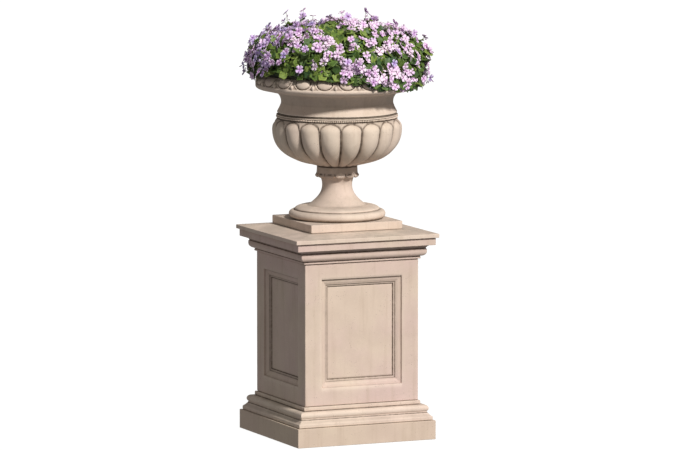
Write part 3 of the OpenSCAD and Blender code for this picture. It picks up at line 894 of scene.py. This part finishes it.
def facing(direction, ahead):
    """A 3x3 array that takes +Z to a direction and +X as near as it can to ahead."""
    z = Vector(direction).normalized()
    x = Vector(ahead) - z * Vector(ahead).dot(z)
    x = x.normalized() if x.length > 1e-6 else z.orthogonal().normalized()
    return np.array([x, z.cross(x), z])


def up(height):
    """A vector straight up."""
    return Vector((0, 0, height))


def stalk(path, radius, sides=4):
    """A thin closed tube along a path."""
    points = []
    for k, p in enumerate(path):
        a, b = path[max(k - 1, 0)], path[min(k + 1, len(path) - 1)]
        across = turned_to(b - a, 0)
        width = radius * (1.15 - 0.35 * k / (len(path) - 1))
        for i in range(sides):
            t = 2 * math.pi * i / sides
            points.append(np.array(p) + (across[0] * math.cos(t) + across[1] * math.sin(t)) * width)
    return np.array(points), capped_tube(len(path), sides)


def jitter(rng, size):
    """A small random vector."""
    return Vector((rng.uniform(-1, 1), rng.uniform(-1, 1), rng.uniform(-1, 1))) * size


def radial(phi):
    """The level direction away from the axis."""
    return Vector((math.cos(phi), math.sin(phi), 0))


def way_in(point, out, depth):
    """Where a stalk from this point goes, into the mound and clear of the rim."""
    r = math.hypot(point.x, point.y)
    if point.z < RIM_Z + 22 and r > RIM_R - 24:
        flat = Vector((point.x / r, point.y / r, 0))
        reach = max(RIM_R + RIM_GAP, r - 8)
        return [flat * reach + up(RIM_Z + 9),
                flat * (RIM_R - 30) + up(RIM_Z + 18)]
    inside = point - out * depth
    inside.z = max(inside.z, RIM_Z + 12)
    return [point - out * depth * 0.45 - up(2), inside - up(4)]


def add_stalk(stems, path, radius, tint, sides=4):
    """A stalk along a path, kept clear of the rim."""
    points, faces = stalk(path, radius, sides)
    stems.add(clear_of_rim(points), faces, tint=tint)


def add_leaf(rng, leaves, stems, shapes, place, sink):
    """One leaf and its stalk."""
    point, out, phi, height = place
    centre = point - out * sink
    size = rng.triangular(11, 22, 16)
    face = (out * 0.50 + radial(phi) * 0.32 + up(0.32) + jitter(rng, 0.60)).normalized()
    ahead = out * 0.5 + up(-0.8) + jitter(rng, 0.7)
    shape, faces = rng.choice(shapes)
    points = clear_of_rim((shape * size) @ facing(face, ahead) + np.array(centre))
    points[:, 2] += max(0.0, skirt(phi) - 19 - points[:, 2].min())
    # leaves higher up are lighter and lower ones darker: painted light and shade
    lit_height = clamp((height - 540) / 130)
    tint = clamp(rng.gauss(0.34, 0.25) + 0.22 * lit_height + 0.3 * noise.noise(point * 0.014))
    leaves.add(points, faces, tint=tint, lx=shape[:, 0], ly=shape[:, 1],
               shade=clamp((sink + 2) / (30)))
    add_stalk(stems, [centre - face * 0.4] + way_in(centre, out, 40), LEAF_STALK, tint)


def clear_of_rim(points):
    """Pushes the points of a leaf or petal out of the rim."""
    r = np.hypot(points[:, 0], points[:, 1])
    low_part = (points[:, 2] < RIM_Z + 4) & (r > THROAT_R)
    least = RIM_R + RIM_GAP
    scale = np.where(low_part & (r < least), least / np.maximum(r, 1e-6), 1)
    points = points.copy()
    points[:, :2] *= scale[:, None]
    return points


def add_floret(rng, flowers, centre, face, size, tint, shapes):
    """One five-petalled flower: two upper petals close together and three lower ones."""
    base = turned_to(face, rng.uniform(0, 2 * math.pi))
    for k, angle in enumerate((24, -24, 98, 180, -98)):
        shape, faces = shapes[0 if k < 2 else 1]
        a = math.radians(angle + rng.uniform(-5, 5))
        c, s = math.cos(a), math.sin(a)
        spun = np.array([[c, s, 0], [-s, c, 0], [0, 0, 1]])
        points = clear_of_rim((shape * size * rng.uniform(0.94, 1.05)) @ spun @ base + np.array(centre))
        flowers.add(points, faces, tint=tint, along=shape[:, 0], across=shape[:, 1],
                    upper=float(k < 2))
    shape, faces = ball(4, 6)
    heart = (shape * [0.075, 0.075, 0.13] * size) @ base + np.array(centre)
    flowers.add(heart, faces, tint=tint, eye=1.0)


def add_bud(rng, stems, flowers, foot_point, direction, tint):
    """A closed bud on a bent stalk."""
    tip = foot_point + direction * rng.uniform(12, 20) - up(rng.uniform(2, 8))
    middle = foot_point.lerp(tip, 0.6) + up(3)
    add_stalk(stems, [foot_point, middle, tip], THIN_STALK, tint, 3)
    shape, faces = ball(4, 6)
    axis = (tip - middle).normalized()
    points = (shape * [1.9, 1.9, 5.2]) @ turned_to(axis, 0) + np.array(tip + axis * 4)
    flowers.add(clear_of_rim(points), faces, tint=tint, along=0.5 + 0.5 * shape[:, 2], eye=0.55)


def flower_tint(rng, phi):
    """Pinker at the front; bluer and darker round the shaded left, as painted shade."""
    left = max(0.0, math.cos(phi - math.radians(165))) ** 2
    return rng.gauss(0.72, 0.2) - 0.45 * left


def add_umbel(rng, flowers, stems, shapes, place, out_by, florets):
    """One loose head of flowers on its stalk."""
    point, out, phi, height = place
    axis = (out * 0.55 + radial(phi) * 0.55 + up(0.12) + jitter(rng, 0.35)).normalized()
    centre = point + out * (out_by - 14)
    tint = flower_tint(rng, phi)
    add_stalk(stems, [centre] + way_in(centre, out, 46), HEAD_STALK, 0.5)
    spread = turned_to(axis, rng.uniform(0, 2 * math.pi))
    for k in range(florets):
        lean = math.radians(rng.uniform(4, 30) if k == 0 else rng.uniform(44, 82))
        a = 2 * math.pi * k / max(florets - 1, 1) + rng.uniform(-0.5, 0.5)
        d = (Vector(spread[0]) * math.cos(a) + Vector(spread[1]) * math.sin(a)) * math.sin(lean)
        d = (d + axis * math.cos(lean)).normalized()
        head = centre + d * rng.uniform(15, 28) + out * rng.uniform(0, 7)
        head.z = max(head.z, skirt(phi) - 4)
        face = (d * 0.6 + axis * 0.8 + jitter(rng, 0.35)).normalized()
        shade = clamp(tint + rng.uniform(-0.38, 0.38))
        add_floret(rng, flowers, head, face, rng.uniform(12.5, 15.8), shade, shapes)
        path = [centre, centre.lerp(head, 0.55) - axis * 1.5, head - face * 0.8]
        add_stalk(stems, path, THIN_STALK, 0.6, 3)
    if rng.random() < 0.6:
        add_bud(rng, stems, flowers, centre, (jitter(rng, 1.0) + out * 0.6).normalized(), tint)


def add_single(rng, flowers, stems, shapes, place, out_by, buds=0):
    """One flower on a long thin stalk, with buds if it stands clear of the mound."""
    point, out, phi, height = place
    lean = (out + up(0.25) + jitter(rng, 0.35)).normalized()
    head = point + lean * out_by
    head.z = max(head.z, skirt(phi) - (4 if buds else 0))
    face = (out * 0.45 + radial(phi) * 0.5 + up(0.12) + jitter(rng, 0.5)).normalized()
    tint = clamp(flower_tint(rng, phi) - 0.12 * buds)
    add_floret(rng, flowers, head, face, rng.uniform(13, 17), tint, shapes)
    path = [head - face * 0.8, point.lerp(head, 0.5) - up(3)] + way_in(point, out, 40)
    add_stalk(stems, path, SINGLE_STALK, 0.55)
    for _ in range(buds):
        start = point.lerp(head, rng.uniform(0.5, 0.8))
        add_bud(rng, stems, flowers, start, (lean * 0.8 + jitter(rng, 0.8)).normalized(), tint)


def flower_chance(place):
    """How likely flowers are at a place: in drifts, few low on the left, many on the right."""
    point, _, phi, height = place
    right = 0.5 + 0.5 * math.cos(phi - math.radians(318))
    left = max(0.0, math.cos(phi - math.radians(163))) ** 4
    level = clamp((height - 588) / 80)
    crown = clamp((height - 680) / 50)
    drift = 0.50 + 2.4 * noise.noise(point * 0.0095 + Vector((4, 0, 2)))
    share = 0.02 + 0.70 * level + 0.62 * right * right + 0.5 * left - 0.3 * crown
    return min(1.0, max(0.08, drift)) * min(1.0, share)


def undergrowth(material):
    """The shaded core of stalks and old leaves that shows between the leaves."""
    columns = 220
    angles = even_angles(columns)
    brim = RIM_Z + 3
    core = np.concatenate([
        off(0, SEAT, (2, 516), (120, 516), (226, 516), (237, 532)),
        off(0, brim, (245, 0), (266, 0), (282, 1), (290, 9), (293, 24)),
        power_arc(MOUND_R - 16, MOUND_MID, MOUND_RISE - 17, MOUND_POWER, 0, 88, 34)])
    z = np.repeat(core[:, 1:], columns, 1)
    flat = swept(core[:, :1] * (1 + (oval(angles) - 1) * clamp((z - brim) / 24)), z, angles)
    push = (fractal(flat * MM, 26, 3, 5) - 0.3) * 9
    push[:8 * columns] = 0
    away = flat - np.array([0, 0, MOUND_MID])
    flat = flat + away / np.linalg.norm(away, axis=1, keepdims=True) * push[:, None]
    obj = make_mesh("undergrowth", flat, capped_tube(len(core), columns), material)
    finish_piece(obj, "urn", PLANTS)


def planting(leaf_material, petal_material, stem_material):
    """Leaves, flower heads and stalks of each of the seven plants."""
    rng = random.Random(2024)
    shapes = [leaf_shape(rng) for _ in range(9)]
    petals = [petal_shape(0.78, 0.05, 0.12), petal_shape(0.90, 0.06, 0.18)]
    heaps = {name: (Heap("tint", "lx", "ly", "shade"),
                    Heap("tint", "along", "across", "upper", "eye"), Heap("tint")) for name in PLANTS}
    for amount, sink in ((OUTER_LEAVES, (-6, 9)), (INNER_LEAVES, (11, 20))):
        for place in scatter(rng, *amount):
            leaves, _, stems = heaps[plant_of(place[0])]
            add_leaf(rng, leaves, stems, shapes, place, rng.uniform(*sink))
    for place in scatter(rng, *HEADS, flower_chance):
        _, flowers, stems = heaps[plant_of(place[0])]
        add_umbel(rng, flowers, stems, petals, place, rng.uniform(0, 12), rng.randint(3, 6))
    for place in scatter(rng, *SINGLES, flower_chance):
        _, flowers, stems = heaps[plant_of(place[0])]
        add_single(rng, flowers, stems, petals, place, rng.uniform(6, 24))
    for place in scatter(rng, *WISPS):
        leaves, flowers, stems = heaps[plant_of(place[0])]
        longest = 64 if place[3] > NEAR_TOP else 46
        add_single(rng, flowers, stems, petals, place, rng.uniform(28, longest), rng.randint(1, 3))
        for _ in range(2 if place[3] > HIGH_UP else 0):
            add_leaf(rng, leaves, stems, shapes, place, -rng.uniform(6, 22))
    for name, (leaves, flowers, stems) in heaps.items():
        leaves.build(name + "_leaves", leaf_material, [name], "foliage")
        flowers.build(name + "_flowers", petal_material, [name], "flowers")
        stems.build(name + "_stalks", stem_material, [name], "foliage")


# ---- materials


class Wiring:
    """One node material round a Principled shader."""

    def __init__(self, name, rough, metallic=0.0):
        self.material = bpy.data.materials.new(name)
        self.material.use_nodes = True
        self.tree = self.material.node_tree
        self.tree.nodes.clear()
        self.shader = self.add("BsdfPrincipled")
        self.feed(self.add("OutputMaterial").inputs["Surface"], self.shader.outputs[0])
        self.shader.inputs["Metallic"].default_value = metallic
        self.feed(self.shader.inputs["Roughness"], rough)
        self.place = self.add("TexCoord").outputs["Object"]
        self.colour = None

    def add(self, kind, **settings):
        """A new node."""
        node = self.tree.nodes.new("ShaderNode" + kind)
        for key, value in settings.items():
            setattr(node, key, value)
        return node

    def feed(self, socket, value):
        """Sets or links a socket."""
        if isinstance(value, bpy.types.NodeSocket):
            self.tree.links.new(value, socket)
        elif hasattr(value, "__len__"):
            socket.default_value = (*value, 1.0)[:len(socket.default_value)]
        else:
            socket.default_value = value

    def fed(self, kind, **values):
        """A new node with its inputs set or linked."""
        node = self.add(kind)
        for key, value in values.items():
            self.feed(node.inputs[key], value)
        return node

    def stretched(self, scale):
        """Object coordinates scaled by x, y and z."""
        return self.fed("Mapping", Vector=self.place, Scale=scale).outputs[0]

    def noise(self, scale, detail=3.0, rough=0.55, vector=None):
        """Noise from 0 to 1."""
        vector = vector or self.place
        return self.fed("TexNoise", Vector=vector, Scale=scale, Detail=detail, Roughness=rough).outputs[0]

    def cells(self, scale):
        """Distance to the nearest of many scattered points."""
        return self.fed("TexVoronoi", Vector=self.place, Scale=scale).outputs["Distance"]

    def span(self, value, low_in, high_in, low_out=0.0, high_out=1.0):
        """A value carried from one range to another, held at the ends."""
        node = self.add("MapRange")
        self.feed(node.inputs[0], value)
        for k, v in enumerate((low_in, high_in, low_out, high_out), 1):
            node.inputs[k].default_value = v
        return node.outputs[0]

    def sum(self, operation, a, b=0.0):
        """One step of arithmetic."""
        node = self.add("Math", operation=operation)
        self.feed(node.inputs[0], a)
        self.feed(node.inputs[1], b)
        return node.outputs[0]

    def mix(self, share, a, b):
        """A blend of two colours."""
        node = self.add("Mix", data_type="RGBA")
        self.feed(node.inputs[0], share)
        self.feed(node.inputs[6], a)
        self.feed(node.inputs[7], b)
        return node.outputs[2]

    def times(self, a, b):
        """One value times another."""
        return self.sum("MULTIPLY", a, b)

    def coat(self, share, colour):
        """Lays another colour over the colour so far."""
        self.colour = self.mix(share, self.colour, colour)

    def value(self, name):
        """A float attribute of the mesh."""
        return self.add("Attribute", attribute_name=name).outputs["Fac"]

    def upward(self):
        """The height part of the surface's direction."""
        return self.fed("SeparateXYZ", Vector=self.add("NewGeometry").outputs["Normal"]).outputs[2]

    def finish(self, bumps):
        """Sets the colour and stacks the bumps, each (height, strength, distance in metres)."""
        self.feed(self.shader.inputs["Base Color"], self.colour)
        normal = None
        for height, strength, distance in bumps:
            node = self.fed("Bump", Strength=strength, Distance=distance, Height=height)
            if normal:
                self.feed(node.inputs["Normal"], normal)
            normal = node.outputs[0]
        self.feed(self.shader.inputs["Normal"], normal)
        return self.material


def cast_stone(name, body, blush):
    """Pale cast limestone of two tones, darkened in its creases and recesses by grime and painted shade,
    and worn on its edges.
    """
    w = Wiring(name, 0.88)
    broad, patch = w.noise(2.6, 4.0, 0.6), w.noise(11, 5.0, 0.62)
    streak = w.noise(1.0, 4.0, 0.6, w.stretched((46, 46, 3.2)))
    speckle, grit = w.noise(900, 2.0), w.noise(240, 3.0, 0.7)
    pits = w.span(w.cells(150), 0.10, 0.20, 1.0, 0.0)
    pits = w.times(pits, w.span(w.noise(33, 2.0), 0.50, 0.62))
    w.colour = w.mix(w.span(broad, 0.38, 0.62), body, blush)
    w.coat(w.span(patch, 0.35, 0.75, 0.0, 0.42), (0.50, 0.385, 0.30))
    w.coat(w.span(streak, 0.52, 0.80, 0.0, 0.42), (0.46, 0.34, 0.24))
    w.coat(w.span(speckle, 0.3, 0.7, 0.0, 0.22), (0.36, 0.28, 0.22))
    w.coat(w.span(grit, 0.55, 0.8, 0.0, 0.20), (0.86, 0.74, 0.62))
    w.coat(w.times(w.span(w.upward(), 0.55, 0.95, 0.0, 0.35), w.span(patch, 0.35, 0.6)), (0.34, 0.30, 0.25))
    w.coat(w.times(w.value("worn"), 0.36), (0.90, 0.76, 0.62))
    # creases and recesses are darkened: painted shade, with grime
    dirt_and_shade = w.times(w.value("grime_and_shade"), w.span(w.noise(60, 4.0, 0.7), 0.25, 0.6, 0.45, 1.0))
    w.coat(w.times(dirt_and_shade, 0.92), (0.105, 0.068, 0.045))
    w.coat(w.times(pits, 0.7), (0.17, 0.12, 0.085))
    return w.finish([(w.sum("SUBTRACT", grit, pits), 0.55, 0.7 * MM), (patch, 0.35, 1.2 * MM)])


def mortar():
    """Grey lime mortar."""
    w = Wiring("mortar", 0.93)
    rough = w.noise(320, 4.0, 0.7)
    w.colour = w.mix(rough, (0.20, 0.16, 0.12), (0.34, 0.28, 0.22))
    return w.finish([(rough, 0.8, 0.8 * MM)])


def stainless():
    """Brushed stainless steel."""
    w = Wiring("stainless", 0.32, 1.0)
    grain = w.noise(1.0, 3.0, 0.6, w.stretched((900, 900, 60)))
    w.colour = w.mix(w.span(grain, 0.3, 0.7), (0.52, 0.52, 0.53), (0.68, 0.68, 0.67))
    return w.finish([(grain, 0.25, 0.1 * MM)])


def terracotta():
    """A broken crock of clay."""
    w = Wiring("terracotta", 0.85)
    blotch = w.noise(38, 4.0)
    w.colour = w.mix(blotch, (0.42, 0.15, 0.075), (0.52, 0.26, 0.16))
    return w.finish([(w.noise(500, 3.0), 0.5, 0.4 * MM)])


def gravel():
    """Washed drainage gravel."""
    w = Wiring("gravel", 0.8)
    stones = w.cells(85)
    w.colour = w.mix(w.noise(60, 2.0), (0.36, 0.33, 0.29), (0.55, 0.50, 0.42))
    # the gaps between the stones are darkened: painted shade
    w.coat(w.span(stones, 0.35, 0.7), (0.10, 0.09, 0.075))
    return w.finish([(w.span(stones, 0.0, 0.7, 1.0, 0.0), 1.0, 5 * MM)])


def fleece():
    """Grey felted fleece."""
    w = Wiring("fleece", 0.95)
    fibre = w.noise(1.0, 4.0, 0.7, w.stretched((700, 240, 400)))
    w.colour = w.mix(fibre, (0.22, 0.22, 0.20), (0.42, 0.42, 0.39))
    return w.finish([(fibre, 0.7, 0.5 * MM)])


def compost():
    """Dark crumbly compost."""
    w = Wiring("compost", 0.95)
    crumb = w.noise(240, 5.0, 0.75)
    w.colour = w.mix(w.span(crumb, 0.35, 0.7), (0.022, 0.014, 0.010), (0.11, 0.075, 0.05))
    return w.finish([(crumb, 1.0, 4 * MM)])


def leaf_green():
    """Fleshy leaves: veined, paler at the rim, from yellow green to blue green."""
    w = Wiring("leaf_green", 0.48)
    w.shader.inputs["Specular IOR Level"].default_value = 0.35
    tint, lx, ly = w.value("tint"), w.value("lx"), w.value("ly")
    away = w.sum("SQRT", w.sum("ADD", w.times(lx, lx), w.times(ly, ly)))
    angle = w.sum("ARCTAN2", ly, lx)
    vein = w.sum("ABSOLUTE", w.sum("SINE", w.times(angle, 2.5)))
    vein = w.times(w.span(vein, 0.0, 0.16, 1.0, 0.0), w.span(away, 0.05, 0.9, 1.0, 0.15))
    w.colour = w.mix(w.span(tint, 0.0, 0.5), (0.034, 0.088, 0.028), (0.112, 0.195, 0.028))
    w.coat(w.span(tint, 0.5, 1.0), (0.32, 0.42, 0.08))
    w.coat(w.times(w.span(w.noise(55, 3.0), 0.4, 0.7), 0.35), (0.06, 0.10, 0.022))
    ring = w.span(w.sum("ABSOLUTE", w.sum("SUBTRACT", away, 0.55)), 0.05, 0.2, 0.35, 0.0)
    w.coat(ring, (0.045, 0.075, 0.022))
    w.coat(w.span(away, 0.86, 1.0, 0.0, 0.40), (0.24, 0.27, 0.10))
    w.coat(w.times(vein, 0.45), (0.27, 0.32, 0.12))
    w.coat(w.times(w.value("shade"), 0.55), (0.030, 0.040, 0.014))
    return w.finish([(w.sum("ADD", vein, w.times(w.noise(160, 2.0), 0.5)), 0.6, 0.5 * MM)])


def petal_lilac():
    """Lilac-pink petals, darker and streaked at the throat; the eye and the buds are deeper."""
    w = Wiring("petal_lilac", 0.6)
    along, across, tint = w.value("along"), w.value("across"), w.value("tint")
    w.colour = w.mix(w.span(tint, 0.0, 0.45), (0.44, 0.34, 0.74), (0.82, 0.46, 0.84))
    w.coat(w.span(tint, 0.45, 1.0), (1.0, 0.78, 0.93))
    w.coat(w.span(along, 0.40, 0.95, 0.0, 0.62), (1.0, 0.91, 0.99))
    w.coat(w.span(w.noise(120, 3.0), 0.4, 0.7, 0.0, 0.25), (0.56, 0.28, 0.60))
    line = w.sum("ABSOLUTE", w.sum("SINE", w.times(across, 26.0)))
    line = w.times(w.span(line, 0.0, 0.45, 1.0, 0.0), w.span(along, 0.2, 0.62, 1.0, 0.0))
    w.coat(w.times(line, w.span(w.value("upper"), 0.0, 1.0, 0.25, 0.85)), (0.26, 0.03, 0.20))
    w.coat(w.span(along, 0.05, 0.3, 0.55, 0.0), (0.34, 0.08, 0.34))
    w.coat(w.value("eye"), (0.20, 0.07, 0.13))
    return w.finish([(w.noise(420, 2.0), 0.3, 0.3 * MM)])


def stalk_green():
    """Green stalks, reddish in places."""
    w = Wiring("stalk_green", 0.55)
    w.colour = w.mix(w.value("tint"), (0.075, 0.10, 0.03), (0.16, 0.19, 0.06))
    w.coat(w.span(w.noise(30, 2.0), 0.5, 0.7, 0.0, 0.5), (0.13, 0.055, 0.03))
    return w.finish([(w.noise(700, 2.0), 0.4, 0.2 * MM)])


def leaf_shade():
    """Dead leaves and shade under the mound."""
    w = Wiring("leaf_shade", 0.9)
    mass = w.noise(70, 5.0, 0.7)
    w.colour = w.mix(w.span(mass, 0.35, 0.65), (0.010, 0.012, 0.005), (0.045, 0.050, 0.018))
    return w.finish([(mass, 1.0, 6 * MM)])


# ---- floor, light and camera


def floor():
    """A plain pale floor."""
    w = Wiring("floor", 0.9)
    for key, value in (("Base Color", (0.045, 0.045, 0.045)), ("Emission Color", (1.0, 0.995, 0.99)),
                       ("Emission Strength", 0.99)):
        w.feed(w.shader.inputs[key], value)
    bpy.ops.mesh.primitive_circle_add(vertices=96, radius=90, fill_type="NGON", location=(0, 0, -0.3 * MM))
    plane = bpy.context.object
    plane.name = "floor"
    plane.data.materials.append(w.material)
    plane.visible_diffuse = plane.visible_glossy = False


def light():
    """A soft sun from the front right and an even sky."""
    sun = bpy.data.lights.new("sun", "SUN")
    sun.energy = 3.5
    sun.angle = math.radians(7)
    sun.color = (1.0, 0.985, 0.96)
    obj = bpy.data.objects.new("sun", sun)
    obj.rotation_mode = "QUATERNION"
    obj.rotation_quaternion = Vector((0.168, -0.794, 0.585)).to_track_quat("Z", "Y")
    bpy.context.scene.collection.objects.link(obj)
    world = bpy.data.worlds.new("sky")
    world.use_nodes = True
    back = world.node_tree.nodes["Background"]
    back.inputs["Color"].default_value = (0.98, 0.99, 1.0, 1.0)
    back.inputs["Strength"].default_value = 0.25
    bpy.context.scene.world = world


def camera():
    """A long lens, a little above the rim and to the left of the front."""
    data = bpy.data.cameras.new("camera")
    data.sensor_width, data.lens, data.clip_end = 36, 329.7, 500
    obj = bpy.data.objects.new("camera", data)
    obj.rotation_euler = (math.radians(83.04), 0, math.radians(-23.72))
    turn = obj.rotation_euler.to_matrix()
    obj.location = turn @ Vector((0.00324, 0.7533, 22.44))
    bpy.context.scene.collection.objects.link(obj)
    bpy.context.scene.camera = obj
    bpy.context.scene.view_settings.view_transform = "Standard"


# ---- the whole object


def dress_cad_nodes():
    """Gives the CAD nodes that stay visible their materials."""
    kinds = {"_bed": mortar(), "_dowels": stainless(), "tie_": None}
    kinds["tie_"] = kinds["_dowels"]
    others = {"drain_screen": terracotta(), "gravel": gravel(), "fleece": fleece(), "compost": compost()}
    for name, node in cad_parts.items():
        material = others.get(name)
        for key, kind in kinds.items():
            if key in name:
                material = kind
        if material:
            node.data.materials.clear()
            node.data.materials.append(material)


def build():
    """Every piece, then the floor, the light and the camera."""
    die_stone = cast_stone("die_stone", (0.70, 0.560, 0.450), (0.71, 0.525, 0.480))
    pale_stone = cast_stone("pale_stone", (0.770, 0.640, 0.512), (0.770, 0.612, 0.518))
    plinth(cast_stone("plinth_stone", (0.69, 0.555, 0.425), (0.69, 0.535, 0.430)))
    for piece, stone in ((cornice, die_stone), (die, die_stone)):
        piece(stone)
    for piece in (base_moulding, coping, foot_slab, foot, leaf_collar, bowl, bead_string, neck_ring):
        piece(pale_stone)
    undergrowth(leaf_shade())
    planting(leaf_green(), petal_lilac(), stalk_green())
    dress_cad_nodes()
    floor()
    light()
    camera()


build()
